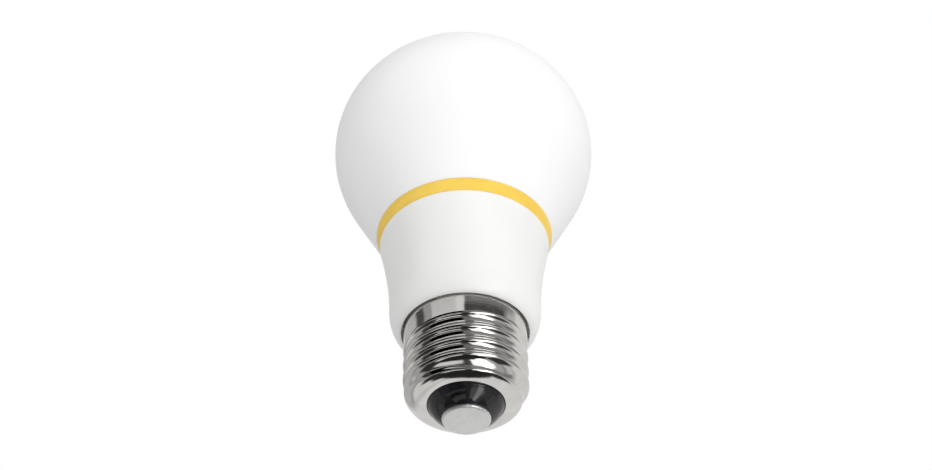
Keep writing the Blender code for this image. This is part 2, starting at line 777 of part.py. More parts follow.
def build_driver():
    build_liner()
    build_driver_board()
    build_pin_header()
    build_capacitor("input_capacitor", 5.0 * MM, 15.5 * MM, 3.2 * MM, 10.8 * MM, (0.03, 0.03, 0.06))
    build_capacitor("output_capacitor", 4.0 * MM, 11.5 * MM, 5.5 * MM, 28.0 * MM, (0.06, 0.03, 0.02))
    build_transformer()
    build_choke()
    build_varistor()
    build_fuse()
    epoxy = new_material("black_epoxy", (0.025, 0.025, 0.027), 0.45)
    packages = (
        # name, width, depth, height, then the place across and up the board, then legs a side
        ("driver_ic", 3.9, 1.5, 4.9, -5.0, 38.6, 4),
        ("bridge_rectifier", 3.8, 1.8, 4.7, -5.6, 33.2, 2),
        ("flyback_diode", 4.3, 1.6, 2.6, 1.6, 40.8, 1),
    )
    for name, *millimetres, legs in packages:
        width, depth, height, x, z = (value * MM for value in millimetres)
        build_package(name, (width, depth, height), x, z, legs, epoxy)
    film_size = (5.6 * MM, 3.2 * MM, 6.0 * MM)
    film_place = (5.8 * MM, DRIVER_BACK + film_size[1] / 2, 34.0 * MM)
    film = new_material("film_capacitor_case", (0.62, 0.45, 0.06), 0.4)
    box("film_capacitor", film_size, film_place, film, bevel=0.5 * MM, segments=2)


# ---------------------------------------------------------------- radio and wires


def build_radio():
    """The wireless module: a board that stands up through the LED board, to lift its antenna clear."""
    foot, top = 27.6 * MM, LED_BOARD_TOP + 12.0 * MM
    height = top - foot
    blue = new_material("blue_fr4", (0.02, 0.06, 0.22), 0.4)
    size = (RADIO_WIDTH, RADIO_THICKNESS, height)
    box("radio_board", size, (0.0, RADIO_PLANE, foot + height / 2), blue)

    back = RADIO_PLANE + RADIO_THICKNESS / 2 + GAP
    front = RADIO_PLANE - RADIO_THICKNESS / 2 - GAP
    can_size = (9.0 * MM, 1.5 * MM, 10.0 * MM)
    can_place = (0.0, back + can_size[1] / 2, 36.5 * MM)
    tin = new_material("tinned_steel", (0.7, 0.7, 0.68), 0.3, 1.0)
    can = box("radio_shield", can_size, can_place, tin)
    inside = (can_size[0] - 2 * GAP, can_size[1], can_size[2] - 2 * GAP)
    combine(can, helper_boxes("shield_inside", [(inside, (0, -GAP, 0))], can_place))

    chip_size = (5.0 * MM, 0.6 * MM, 5.0 * MM)
    epoxy = new_material("chip_epoxy", (0.02, 0.02, 0.022), 0.4)
    box("radio_chip", chip_size, (0.0, back + chip_size[1] / 2, 36.5 * MM), epoxy)

    ceramic = new_material("antenna_ceramic", (0.75, 0.75, 0.7), 0.4)
    antenna_size = (7.0 * MM, 1.2 * MM, 2.0 * MM)
    antenna_place = (0.0, front - antenna_size[1] / 2, top - 2.5 * MM)
    box("chip_antenna", antenna_size, antenna_place, ceramic, bevel=0.15 * MM)

    strip = (8.0 * MM, front - DRIVER_BACK, 2.0 * MM)
    black = new_material("header_nylon", (0.03, 0.03, 0.03), 0.5)
    box("radio_header", strip, (0.0, (front + DRIVER_BACK) / 2, 28.8 * MM), black, bevel=0.2 * MM)


def build_wires():
    """The live wire from the contact's stem to the fuse, and the neutral wire from the board to the shell."""
    red = new_material("red_insulation", (0.45, 0.03, 0.02), 0.45)
    fuse_x, fuse_y, fuse_z = FUSE_FOOT
    live = [
        (0.0, 0.0, STEM_TOP + GAP),
        (-0.5 * MM, 0.1 * MM, 7.8 * MM),
        (-3.4 * MM, 0.8 * MM, 8.4 * MM),
        (fuse_x, fuse_y, 9.3 * MM),
        (fuse_x, fuse_y, fuse_z - GAP),
    ]
    wire("live_wire", live, WIRE_RADIUS, red)
    blue = new_material("blue_insulation", (0.03, 0.08, 0.4), 0.45)
    near_board = DRIVER_FRONT - WIRE_RADIUS
    neutral = [
        (8.0 * MM, near_board, 12.5 * MM),
        (8.1 * MM, near_board, 9.4 * MM),
        (9.2 * MM, near_board - 1.0 * MM, 7.4 * MM),
        (10.6 * MM, near_board - 2.0 * MM, 6.9 * MM),
    ]
    wire("neutral_wire", neutral, 0.5 * MM, blue)


# ---------------------------------------------------------------- the bulb

clear_scene()
PARTS = new_collection("smart_light_bulb")
HELPERS = new_collection("helpers", hidden=True)
AXIS = bpy.data.objects.new("bulb_axis", None)
PARTS.objects.link(AXIS)

build_globe()
build_ring()
build_housing()
build_seal()
build_shell()
build_insulator()
build_contact()
openings = engine_cutters()
build_heat_sink(openings)
build_disc(
    "thermal_pad",
    PAD_TOP,
    PAD_THICKNESS,
    BOARD_RADIUS - 1.0 * MM,
    new_material("thermal_pad", (0.45, 0.5, 0.55), 0.7),
    openings,
)
build_disc(
    "led_board",
    LED_BOARD_TOP,
    LED_BOARD_THICKNESS,
    BOARD_RADIUS,
    new_material("white_solder_mask", (0.88, 0.88, 0.86), 0.4),
    openings,
)
build_leds()
build_screws()
build_socket()
build_driver()
build_radio()
build_wires()
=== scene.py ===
"""Looks of a smart LED bulb on a screw cap.

The globe, the ring, the housing and the cap's metal and glass are modelled again here, finer than the CAD
solids that they stand for. The light engine and the driver inside keep their CAD shapes and get materials.
"""

import math

import bmesh
import bpy
from mathutils import Matrix, Vector


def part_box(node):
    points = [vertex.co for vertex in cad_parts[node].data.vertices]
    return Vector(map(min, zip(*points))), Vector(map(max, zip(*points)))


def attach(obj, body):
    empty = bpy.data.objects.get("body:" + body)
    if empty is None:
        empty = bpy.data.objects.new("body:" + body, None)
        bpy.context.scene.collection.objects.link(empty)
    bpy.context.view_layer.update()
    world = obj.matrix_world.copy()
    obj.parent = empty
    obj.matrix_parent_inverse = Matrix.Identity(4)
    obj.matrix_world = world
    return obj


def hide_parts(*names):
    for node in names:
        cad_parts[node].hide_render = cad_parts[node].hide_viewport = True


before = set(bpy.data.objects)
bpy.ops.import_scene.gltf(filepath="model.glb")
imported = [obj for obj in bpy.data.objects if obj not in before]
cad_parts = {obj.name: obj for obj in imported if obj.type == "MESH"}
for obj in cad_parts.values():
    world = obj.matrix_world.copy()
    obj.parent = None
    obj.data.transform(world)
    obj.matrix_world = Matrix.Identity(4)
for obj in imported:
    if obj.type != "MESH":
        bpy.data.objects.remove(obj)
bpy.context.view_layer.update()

MM = 0.001
TURN = 2 * math.pi
WELD = 0.001 * MM
SHARP_ANGLE = 40  # degrees between two faces, over which their edge is sharp
WIDE_STEPS = 192  # faces round the globe, the ring and the housing
SMALL_STEPS = 144  # faces round the insulator and the contact

# Sizes that the CAD parts in model.glb give
GLOBE_LOW, GLOBE_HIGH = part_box("diffuser_globe")
RING_LOW, RING_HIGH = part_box("accent_ring")
HOUSING_LOW, HOUSING_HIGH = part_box("housing_sleeve")
SHELL_LOW, SHELL_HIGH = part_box("screw_shell")
_, INSULATOR_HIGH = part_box("insulator")
_, CONTACT_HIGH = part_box("centre_contact")

# Outline of the globe
GLOBE_RADIUS = GLOBE_HIGH.x
GLOBE_TOP = GLOBE_HIGH.z
GLOBE_EQUATOR = 76.8 * MM
GLOBE_LOWER_SEMI_AXIS = 27.9 * MM
GLOBE_WALL = 1.2 * MM
COLLAR_RADIUS = 17.3 * MM
COLLAR_WALL = 1.1 * MM

# Outline of the ring and the housing. The CAD leaves a gap where pieces meet, the fine pieces a seam.
CAD_GAP = 0.3 * MM
SEAM = 0.05 * MM
RING_TOP = RING_HIGH.z + CAD_GAP / 2
RING_TOP_RADIUS = RING_HIGH.x
RING_BOTTOM = RING_LOW.z - CAD_GAP / 2
RING_BOTTOM_RADIUS = 18.75 * MM
RIM_RADIUS = HOUSING_HIGH.x
FLARE_BEND = 36.3 * MM  # height where the housing's flare turns into its waist
LEDGE = 43.6 * MM  # height of the step that the globe's collar stands over
WAIST_RADIUS = 16.4 * MM
CORNER_WIDTH = 3.0 * MM  # of the rounded corner that turns in towards the cap
CORNER_TOP = 29.0 * MM
SHOULDER = 22.8 * MM
HOUSING_FLOOR = SHOULDER + 3.2 * MM
MOUTH_RADIUS = 13.72 * MM
GROOVE_ROOF = 24.6 * MM  # of the groove that takes the shell's rim
HOUSING_WALL = 1.3 * MM
NECK_RADIUS = 11.51 * MM
NECK_BORE = 10.2 * MM

# The rolled thread: an arc on the crest and a wider one in the root, tangent where they meet
CREST_RADIUS = SHELL_HIGH.x
THREAD_PITCH = 25.4 / 7 * MM
CREST_ARC = 0.7 * MM
ROOT_ARC = 1.35 * MM
ARC_SUM = CREST_ARC + ROOT_ARC
THREAD_DEPTH = ARC_SUM - math.sqrt(ARC_SUM**2 - (THREAD_PITCH / 2) ** 2)
THREAD_START = 6.7 * MM  # height of the groove where it crosses +X on its first turn
THREAD_RUN = (-0.52, 3.55)  # where the groove begins and ends, in turns
THREAD_FADE = 0.27  # turns over which it reaches its full depth
SHEET = 0.35 * MM
FLARE = 0.12 * MM  # how far the shell widens at its mouth
FLARE_START = 19.6 * MM
FLARE_RUN = 3.2 * MM
LIP = SHELL_LOW.z
LIP_RADIUS = 8.1 * MM
LIP_BAND = 0.7 * MM  # height above the lip that stays smooth
LIP_FADE = 1.2 * MM  # height over which the groove then reaches its full depth
THREAD_FOOT = LIP + 3.9 * MM  # height where the shell's side becomes upright
CONTACT_SEAT = 0.75 * MM


# ---------------------------------------------------------------- outlines


def ellipse_arc(centre, semi_axes, start, end, count):
    """Points (radius, height) on an ellipse, from one angle to another, in degrees from +X."""
    points = []
    for i in range(count + 1):
        angle = math.radians(start + (end - start) * i / count)
        radius = centre[0] + semi_axes[0] * math.cos(angle)
        points.append((radius, centre[1] + semi_axes[1] * math.sin(angle)))
    return points


def bezier_arc(start, control, end, count):
    """Points (radius, height) on a quadratic Bezier curve."""
    points = []
    for i in range(count + 1):
        t = i / count
        weights = ((1 - t) ** 2, 2 * t * (1 - t), t**2)
        corners = (start, control, end)
        points.append(tuple(sum(w * c[axis] for w, c in zip(weights, corners)) for axis in (0, 1)))
    return points


def filleted(before, corner, after, radius):
    """A corner rounded off: a Bezier arc between the points a radius away on either side."""
    corner = Vector(corner)
    ends = [corner + (Vector(side) - corner).normalized() * radius for side in (before, after)]
    return bezier_arc(tuple(ends[0]), tuple(corner), tuple(ends[1]), 5)


def globe_outline(inset, foot, count):
    """The globe's side from its pole to its foot: two half ellipses, then a straight tangent to the foot."""
    radius = GLOBE_RADIUS - inset
    upper = GLOBE_TOP - GLOBE_EQUATOR - inset
    lower = GLOBE_LOWER_SEMI_AXIS - inset
    foot_depth = (GLOBE_EQUATOR - foot[1]) / lower * radius
    foot_distance = math.hypot(foot[0], foot_depth)
    tangent = math.degrees(math.atan2(foot_depth, foot[0]) - math.acos(radius / foot_distance))
    centre = (0.0, GLOBE_EQUATOR)
    points = ellipse_arc(centre, (radius, upper), 90, 0, count)
    points[0] = (0.0, GLOBE_EQUATOR + upper)
    points += ellipse_arc(centre, (radius, lower), 0, -tangent, count // 2)[1:]
    points.append(foot)
    return points


def housing_side(inset, top, bottom, count):
    """The housing's flared side between two heights: a Bezier curve above the corner, an ellipse below."""
    points = []
    corner_depth = CORNER_TOP - SHOULDER
    for i in range(count + 1):
        height = top + (bottom - top) * i / count
        if height > CORNER_TOP:
            a = RING_BOTTOM - 2 * FLARE_BEND + CORNER_TOP
            b = 2 * (FLARE_BEND - RING_BOTTOM)
            t = (-b - math.sqrt(b * b - 4 * a * max(RING_BOTTOM - height, 0.0))) / (2 * a)
            radius = (1 - t) ** 2 * RIM_RADIUS + (1 - (1 - t) ** 2) * WAIST_RADIUS
        else:
            drop = min((CORNER_TOP - height) / corner_depth, 1.0)
            radius = WAIST_RADIUS - CORNER_WIDTH * (1 - math.sqrt(1 - drop * drop))
        points.append((radius - inset, height))
    return points


# ---------------------------------------------------------------- shapes


def turned(name, outline, steps, closed=False):
    """A turned piece: (radius, height) points down its outer side, swept round Z."""
    shape = bmesh.new()
    corners = [shape.verts.new((radius, 0.0, height)) for radius, height in outline]
    edges = [shape.edges.new(pair) for pair in zip(corners, corners[1:])]
    if closed:
        edges.append(shape.edges.new((corners[-1], corners[0])))
    bmesh.ops.spin(
        shape,
        geom=corners + edges,
        cent=(0, 0, 0),
        axis=(0, 0, 1),
        angle=TURN,
        steps=steps,
        use_merge=True,
    )
    bmesh.ops.remove_doubles(shape, verts=shape.verts, dist=WELD)
    bmesh.ops.recalc_face_normals(shape, faces=shape.faces)
    return finished(name, shape)


def finished(name, shape):
    """The object of a bmesh: smooth, with sharp edges where it turns by more than the sharp angle."""
    mesh = bpy.data.meshes.new(name)
    shape.to_mesh(mesh)
    shape.free()
    mesh.shade_smooth()
    mesh.set_sharp_from_angle(angle=math.radians(SHARP_ANGLE))
    obj = bpy.data.objects.new(name, mesh)
    bpy.context.scene.collection.objects.link(obj)
    return obj


def place(obj, node, material):
    """Puts a fine piece on the bulb, in the place of its CAD node."""
    obj.data.materials.append(material)
    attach(obj, "root")
    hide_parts(node)


def make_globe():
    """The opal diffuser: a blown globe whose foot curls in over the ring, and a collar in the housing."""
    foot = RING_TOP + SEAM
    throat = foot + 0.7 * MM
    curl_top = (RING_TOP_RADIUS, foot + 0.25 * MM)
    curl_side = (RING_TOP_RADIUS - 0.03 * MM, foot + 0.12 * MM)
    curl_corner = (RING_TOP_RADIUS - 0.08 * MM, foot)
    curl_end = (RING_TOP_RADIUS - 0.3 * MM, foot)
    outline = globe_outline(0.0, curl_top, 72)
    outline += bezier_arc(curl_side, curl_corner, curl_end, 4)
    inner_foot = (RING_TOP_RADIUS - GLOBE_WALL, foot + GLOBE_WALL)
    outline += [
        (COLLAR_RADIUS, foot),
        (COLLAR_RADIUS, GLOBE_LOW.z),
        (COLLAR_RADIUS - COLLAR_WALL, GLOBE_LOW.z),
        (COLLAR_RADIUS - COLLAR_WALL, throat),
    ]
    outline += reversed(globe_outline(GLOBE_WALL, inner_foot, 48))
    globe = turned("globe_shell", outline, WIDE_STEPS)
    place(globe, "diffuser_globe", opal_plastic())


def make_ring():
    """The amber trim ring, with its edges eased where it meets the globe and the housing."""
    bore = COLLAR_RADIUS + CAD_GAP
    eased = 0.22 * MM
    corners = [
        (bore, RING_TOP - SEAM),
        (RING_TOP_RADIUS, RING_TOP - SEAM),
        (RING_BOTTOM_RADIUS, RING_BOTTOM + SEAM),
        (bore, RING_BOTTOM + SEAM),
    ]
    outline = [corners[0]]
    outline += filleted(*corners[0:3], eased)
    outline += filleted(*corners[1:4], eased)
    outline += [corners[3]]
    ring = turned("amber_ring", outline, WIDE_STEPS, closed=True)
    place(ring, "accent_ring", amber_plastic())


def make_housing():
    """The white moulding: a flared body, and the neck that the cap is staked to."""
    rim = RING_BOTTOM - SEAM
    corner = (WAIST_RADIUS - CORNER_WIDTH, CORNER_TOP)
    semi_axes = (CORNER_WIDTH, CORNER_TOP - SHOULDER)
    inward, down = (RIM_RADIUS - 1.0 * MM, rim), (RIM_RADIUS, rim - 1.0 * MM)
    rim_edge, side_top = 0.2 * MM, rim - 0.3 * MM
    mouth_start = (MOUTH_RADIUS + 0.12 * MM, SHOULDER)
    mouth_end = (MOUTH_RADIUS, SHOULDER + 0.15 * MM)
    outline = filleted(inward, (RIM_RADIUS, rim), down, rim_edge)
    outline += housing_side(0.0, side_top, CORNER_TOP, 40)
    outline += ellipse_arc(corner, semi_axes, 0, -84, 24)[1:]
    outline += bezier_arc(mouth_start, (MOUTH_RADIUS, SHOULDER), mouth_end, 3)
    outline += [
        (MOUTH_RADIUS, GROOVE_ROOF),
        (NECK_RADIUS, GROOVE_ROOF),
        (NECK_RADIUS, HOUSING_LOW.z),
        (NECK_BORE, HOUSING_LOW.z),
        (NECK_BORE, HOUSING_FLOOR),
    ]
    outline += reversed(housing_side(HOUSING_WALL, LEDGE, HOUSING_FLOOR, 24))
    outline += [(COLLAR_RADIUS + CAD_GAP, LEDGE), (COLLAR_RADIUS + CAD_GAP, rim)]
    housing = turned("housing_body", outline, WIDE_STEPS, closed=True)
    place(housing, "housing_sleeve", white_plastic())


def groove_depth(angle, height):
    """How deep the rolled thread is at a place on the shell, with its run-in and run-out."""
    first, last = THREAD_RUN
    turns = (height - THREAD_START) / THREAD_PITCH - angle / TURN
    nearest = round(turns)
    along = nearest + angle / TURN
    rise = min(max(min(along - first, last - along) / THREAD_FADE, 0.0), 1.0)
    rise *= min(max(height - LIP - LIP_BAND, 0.0) / LIP_FADE, 1.0)
    from_root = abs(turns - nearest) * THREAD_PITCH
    from_crest = THREAD_PITCH / 2 - from_root
    if from_root / ROOT_ARC < from_crest / CREST_ARC:
        depth = THREAD_DEPTH - ROOT_ARC + math.sqrt(ROOT_ARC**2 - from_root**2)
    else:
        depth = CREST_ARC - math.sqrt(CREST_ARC**2 - from_crest**2)
    return depth * rise * rise * (3 - 2 * rise)


def make_shell():
    """The cap's shell: one rolled sheet, from the lip round the glass up to the plain band."""
    columns, foot_rows, rows = 224, 28, 224
    shoulder = (CREST_RADIUS - 0.6 * MM, LIP + 0.7 * MM)
    side = bezier_arc((LIP_RADIUS, LIP), shoulder, (CREST_RADIUS, THREAD_FOOT), foot_rows)
    for i in range(1, rows + 1):
        height = THREAD_FOOT + (SHELL_HIGH.z - THREAD_FOOT) * i / rows
        flare = min(max((height - FLARE_START) / FLARE_RUN, 0.0), 1.0) ** 2
        side.append((CREST_RADIUS + FLARE * flare, height))

    shape = bmesh.new()
    bmesh.ops.create_grid(shape, x_segments=columns, y_segments=len(side) - 1, size=1.0)
    for vertex in shape.verts:
        angle = round((vertex.co.x + 1) / 2 * columns) * TURN / columns
        radius, height = side[round((vertex.co.y + 1) / 2 * (len(side) - 1))]
        radius -= groove_depth(angle, height)
        vertex.co = (radius * math.cos(angle), radius * math.sin(angle), height)
    bmesh.ops.remove_doubles(shape, verts=shape.verts, dist=10 * WELD)
    shell = finished("threaded_shell", shape)
    sheet = shell.modifiers.new("Sheet", "SOLIDIFY")
    sheet.thickness = SHEET
    sheet.offset = -1.0
    place(shell, "screw_shell", nickel_plate())


def make_insulator():
    """The black glass cone between the shell's lip and the contact, with a flange inside the lip."""
    flange_bottom = LIP + SHEET + 0.7 * MM
    bore = 1.5 * MM
    waist = LIP_RADIUS - 0.1 * MM
    flange_edge = 0.35 * MM
    seat = CONTACT_SEAT + SEAM
    cone_top = (waist - 0.2 * MM, LIP - 0.3 * MM)
    cone_bulge = (waist - 0.9 * MM, seat + 1.2 * MM)
    cone_foot = (CONTACT_HIGH.x + 0.2 * MM, seat)
    outline = [
        (bore, INSULATOR_HIGH.z),
        (INSULATOR_HIGH.x - flange_edge, INSULATOR_HIGH.z),
        (INSULATOR_HIGH.x, INSULATOR_HIGH.z - flange_edge),
        (INSULATOR_HIGH.x, flange_bottom),
        (waist, flange_bottom),
        (waist, LIP - SEAM),
    ]
    outline += bezier_arc(cone_top, cone_bulge, cone_foot, 24)
    outline.append((bore, seat))
    cone = turned("glass_insulator", outline, SMALL_STEPS, closed=True)
    place(cone, "insulator", black_glass())


def make_contact():
    """The centre contact: a pressed button with a flat face, a rolled rim and a stem for the live wire."""
    rim = CONTACT_HIGH.x
    rim_width, rim_height, back_edge = 0.6 * MM, 0.55 * MM, 0.15 * MM
    stem, stem_edge = 1.2 * MM, 0.3 * MM
    stem_top = (0.0, CONTACT_HIGH.z)
    outline = [stem_top]
    outline += filleted(stem_top, (stem, CONTACT_HIGH.z), (stem, CONTACT_SEAT), stem_edge)
    outline += [(stem, CONTACT_SEAT), (rim - back_edge, CONTACT_SEAT)]
    outline += ellipse_arc((rim - rim_width, rim_height), (rim_width, rim_height), 18, -90, 14)
    outline.append((0.0, 0.0))
    button = turned("contact_button", outline, SMALL_STEPS)
    place(button, "centre_contact", tinned_metal())


# ---------------------------------------------------------------- materials


def new_material(name, **sockets):
    """A node material: its shader's own sockets take every value that is the same all over."""
    made = bpy.data.materials.new(name)
    made.use_nodes = True
    shader = made.node_tree.nodes["Principled BSDF"]
    for socket, value in sockets.items():
        shader.inputs[socket.replace("_", " ")].default_value = value
    return made, made.node_tree, shader


def texture(tree, kind, axis_scale=(1, 1, 1), **settings):
    """A procedural texture in the object's own coordinates, finer along an axis by its scale."""
    nodes, links = tree.nodes, tree.links
    coordinates = nodes.new("ShaderNodeTexCoord")
    mapping = nodes.new("ShaderNodeMapping")
    mapping.inputs["Scale"].default_value = axis_scale
    links.new(coordinates.outputs["Object"], mapping.inputs["Vector"])
    made = nodes.new(kind)
    for socket, value in settings.items():
        made.inputs[socket].default_value = value
    links.new(mapping.outputs["Vector"], made.inputs["Vector"])
    return made


def tint(tree, shader, source, first, second):
    """Lets a texture move the base colour between two colours."""
    low, high = 0.35, 0.65
    ramp = tree.nodes.new("ShaderNodeValToRGB")
    ramp.color_ramp.elements[0].position = low
    ramp.color_ramp.elements[1].position = high
    ramp.color_ramp.elements[0].color = (*first, 1.0)
    ramp.color_ramp.elements[1].color = (*second, 1.0)
    tree.links.new(source, ramp.inputs["Fac"])
    tree.links.new(ramp.outputs["Color"], shader.inputs["Base Color"])


def vary_roughness(tree, shader, source, low, high):
    """Lets a texture move the roughness between two values, over the span that a noise mostly fills."""
    noise_low, noise_high = 0.3, 0.7
    span = tree.nodes.new("ShaderNodeMapRange")
    span.inputs["From Min"].default_value = noise_low
    span.inputs["From Max"].default_value = noise_high
    span.inputs["To Min"].default_value = low
    span.inputs["To Max"].default_value = high
    tree.links.new(source, span.inputs["Value"])
    tree.links.new(span.outputs["Result"], shader.inputs["Roughness"])


def relief(tree, shader, source, strength, depth):
    """Lets a texture raise and lower the surface a little, in the shading only."""
    bump = tree.nodes.new("ShaderNodeBump")
    bump.inputs["Strength"].default_value = strength
    bump.inputs["Distance"].default_value = depth
    tree.links.new(source, bump.inputs["Height"])
    tree.links.new(bump.outputs["Normal"], shader.inputs["Normal"])


def opal_plastic():
    """Milky polycarbonate: light goes a little way in, under a satin skin with a faint mottle."""
    made, tree, shader = new_material(
        "opal_plastic",
        Subsurface_Weight=0.25,
        Subsurface_Radius=(1.0, 0.98, 0.95),
        Subsurface_Scale=2.5 * MM,
        Specular_IOR_Level=0.35,
    )
    mottle = texture(tree, "ShaderNodeTexNoise", Scale=90.0, Detail=4.0)
    tint(tree, shader, mottle.outputs["Fac"], (0.955, 0.955, 0.95), (0.975, 0.975, 0.975))
    grain = texture(tree, "ShaderNodeTexNoise", Scale=2600.0, Detail=2.0)
    vary_roughness(tree, shader, grain.outputs["Fac"], 0.38, 0.48)
    relief(tree, shader, grain.outputs["Fac"], 0.15, 0.02 * MM)
    return made


def amber_plastic():
    made, tree, shader = new_material("amber_plastic", Specular_IOR_Level=0.4)
    flow = texture(tree, "ShaderNodeTexNoise", (1, 1, 3), Scale=120.0, Detail=3.0)
    tint(tree, shader, flow.outputs["Fac"], (0.90, 0.60, 0.085), (0.96, 0.66, 0.11))
    grain = texture(tree, "ShaderNodeTexNoise", Scale=3000.0, Detail=2.0)
    vary_roughness(tree, shader, grain.outputs["Fac"], 0.36, 0.46)
    relief(tree, shader, grain.outputs["Fac"], 0.2, 0.02 * MM)
    return made


def white_plastic():
    made, tree, shader = new_material(
        "white_plastic",
        Subsurface_Weight=0.1,
        Subsurface_Radius=(1.0, 0.95, 0.88),
        Subsurface_Scale=1.0 * MM,
        Specular_IOR_Level=0.5,
    )
    flow = texture(tree, "ShaderNodeTexNoise", (1, 1, 0.4), Scale=80.0, Detail=3.0)
    tint(tree, shader, flow.outputs["Fac"], (0.88, 0.875, 0.855), (0.91, 0.91, 0.895))
    grain = texture(tree, "ShaderNodeTexNoise", Scale=2200.0, Detail=3.0)
    vary_roughness(tree, shader, grain.outputs["Fac"], 0.3, 0.4)
    relief(tree, shader, grain.outputs["Fac"], 0.15, 0.02 * MM)
    return made


def nickel_plate():
    """Bright nickel on rolled brass sheet: fine marks along the rolling, and soft clouds in the polish."""
    made, tree, shader = new_material("nickel_plate", Metallic=1.0)
    clouds = texture(tree, "ShaderNodeTexNoise", Scale=220.0, Detail=4.0)
    tint(tree, shader, clouds.outputs["Fac"], (0.70, 0.675, 0.65), (0.78, 0.765, 0.745))
    marks = texture(tree, "ShaderNodeTexNoise", (1, 1, 9), Scale=420.0, Detail=5.0)
    vary_roughness(tree, shader, marks.outputs["Fac"], 0.05, 0.12)
    relief(tree, shader, marks.outputs["Fac"], 0.25, 0.03 * MM)
    return made


def black_glass():
    made, tree, shader = new_material("black_glass", Specular_IOR_Level=0.4)
    swirl = texture(tree, "ShaderNodeTexNoise", Scale=260.0, Detail=4.0)
    tint(tree, shader, swirl.outputs["Fac"], (0.006, 0.006, 0.007), (0.02, 0.018, 0.02))
    vary_roughness(tree, shader, swirl.outputs["Fac"], 0.04, 0.1)
    relief(tree, shader, swirl.outputs["Fac"], 0.2, 0.05 * MM)
    return made


def tinned_metal():
    made, tree, shader = new_material("tinned_metal", Metallic=1.0)
    crystals = texture(tree, "ShaderNodeTexVoronoi", Scale=500.0)
    tint(tree, shader, crystals.outputs["Distance"], (0.79, 0.79, 0.78), (0.82, 0.82, 0.81))
    grain = texture(tree, "ShaderNodeTexNoise", Scale=900.0, Detail=6.0)
    vary_roughness(tree, shader, grain.outputs["Fac"], 0.38, 0.55)
    relief(tree, shader, grain.outputs["Fac"], 0.3, 0.03 * MM)
    return made


def plain(name, first, second, roughness, scale=400.0, **sockets):
    """A moulded, cast or plated finish: two close colours, a spread of roughness and a fine relief."""
    made, tree, shader = new_material(name, **sockets)
    grain = texture(tree, "ShaderNodeTexNoise", Scale=scale, Detail=4.0)
    tint(tree, shader, grain.outputs["Fac"], first, second)
    vary_roughness(tree, shader, grain.outputs["Fac"], roughness * 0.85, roughness * 1.15)
    relief(tree, shader, grain.outputs["Fac"], 0.3, 0.02 * MM)
    return made


def dress_inside():
    """Gives every node that keeps its CAD shape its material, by the start of its name.

    The six nodes that a fine piece replaces match no name here, and are passed over.
    """
    materials = {
        "globe_seal": plain("silicone", (0.70, 0.70, 0.66), (0.80, 0.80, 0.77), 0.45),
        "heat_sink_cup": plain("aluminium", (0.66, 0.67, 0.69), (0.78, 0.78, 0.8), 0.35, Metallic=1.0),
        "thermal_pad": plain("gap_pad", (0.28, 0.36, 0.45), (0.36, 0.44, 0.52), 0.7),
        "led_board": plain("white_solder_mask", (0.82, 0.82, 0.80), (0.9, 0.9, 0.89), 0.35),
        "white_led": plain("phosphor", (0.80, 0.62, 0.10), (0.92, 0.86, 0.6), 0.4, 900.0),
        "colour_led": plain("clear_resin", (0.75, 0.76, 0.78), (0.9, 0.9, 0.92), 0.2, 900.0),
        "board_screw": plain("zinc_steel", (0.5, 0.5, 0.48), (0.66, 0.65, 0.62), 0.3, Metallic=1.0),
        "led_socket": plain("ivory_nylon", (0.74, 0.70, 0.58), (0.82, 0.79, 0.68), 0.45),
        "driver_liner": plain("natural_nylon", (0.68, 0.67, 0.62), (0.78, 0.77, 0.73), 0.5),
        "driver_board": plain("green_laminate", (0.01, 0.12, 0.05), (0.02, 0.19, 0.08), 0.35),
        "pin_header": plain("black_nylon", (0.012, 0.012, 0.012), (0.03, 0.03, 0.03), 0.5),
        "radio_header": plain("black_nylon_small", (0.012, 0.012, 0.012), (0.03, 0.03, 0.03), 0.5),
        "input_capacitor": plain("black_sleeve", (0.015, 0.015, 0.018), (0.035, 0.035, 0.04), 0.3),
        "output_capacitor": plain("brown_sleeve", (0.09, 0.035, 0.02), (0.15, 0.06, 0.035), 0.3),
        "transformer_core": plain("ferrite", (0.03, 0.03, 0.032), (0.07, 0.07, 0.072), 0.6),
        "transformer_bobbin": plain("bobbin_nylon", (0.02, 0.02, 0.022), (0.04, 0.04, 0.042), 0.5),
        "transformer_winding": plain("yellow_tape", (0.72, 0.5, 0.05), (0.85, 0.62, 0.1), 0.3),
        "filter_choke": plain("choke_sleeve", (0.02, 0.05, 0.03), (0.05, 0.09, 0.06), 0.4),
        "bridge_rectifier": plain("rectifier_epoxy", (0.015, 0.015, 0.015), (0.04, 0.04, 0.04), 0.55),
        "flyback_diode": plain("diode_epoxy", (0.015, 0.015, 0.015), (0.04, 0.04, 0.04), 0.45),
        "driver_ic": plain("chip_epoxy", (0.015, 0.015, 0.017), (0.035, 0.035, 0.037), 0.5),
        "film_capacitor": plain("film_case", (0.5, 0.16, 0.03), (0.62, 0.24, 0.05), 0.4),
        "varistor": plain("blue_epoxy", (0.02, 0.09, 0.32), (0.04, 0.14, 0.42), 0.35),
        "fuse_resistor": plain("resistor_sleeve", (0.16, 0.17, 0.16), (0.26, 0.27, 0.26), 0.5),
        "radio_board": plain("blue_laminate", (0.01, 0.05, 0.2), (0.02, 0.09, 0.3), 0.35),
        "radio_shield": plain("tinned_steel", (0.6, 0.6, 0.6), (0.72, 0.72, 0.72), 0.3, Metallic=1.0),
        "radio_chip": plain("radio_epoxy", (0.015, 0.015, 0.015), (0.04, 0.04, 0.04), 0.5),
        "chip_antenna": plain("ceramic", (0.72, 0.70, 0.66), (0.84, 0.82, 0.79), 0.4),
        "live_wire": plain("red_insulation", (0.42, 0.02, 0.015), (0.55, 0.04, 0.03), 0.4),
        "neutral_wire": plain("blue_insulation", (0.02, 0.08, 0.36), (0.04, 0.13, 0.48), 0.4),
    }
    for name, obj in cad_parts.items():
        found = [key for key in materials if name.startswith(key)]
        if not found:
            continue
        obj.data.materials.clear()
        obj.data.materials.append(materials[found[0]])


# ---------------------------------------------------------------- studio


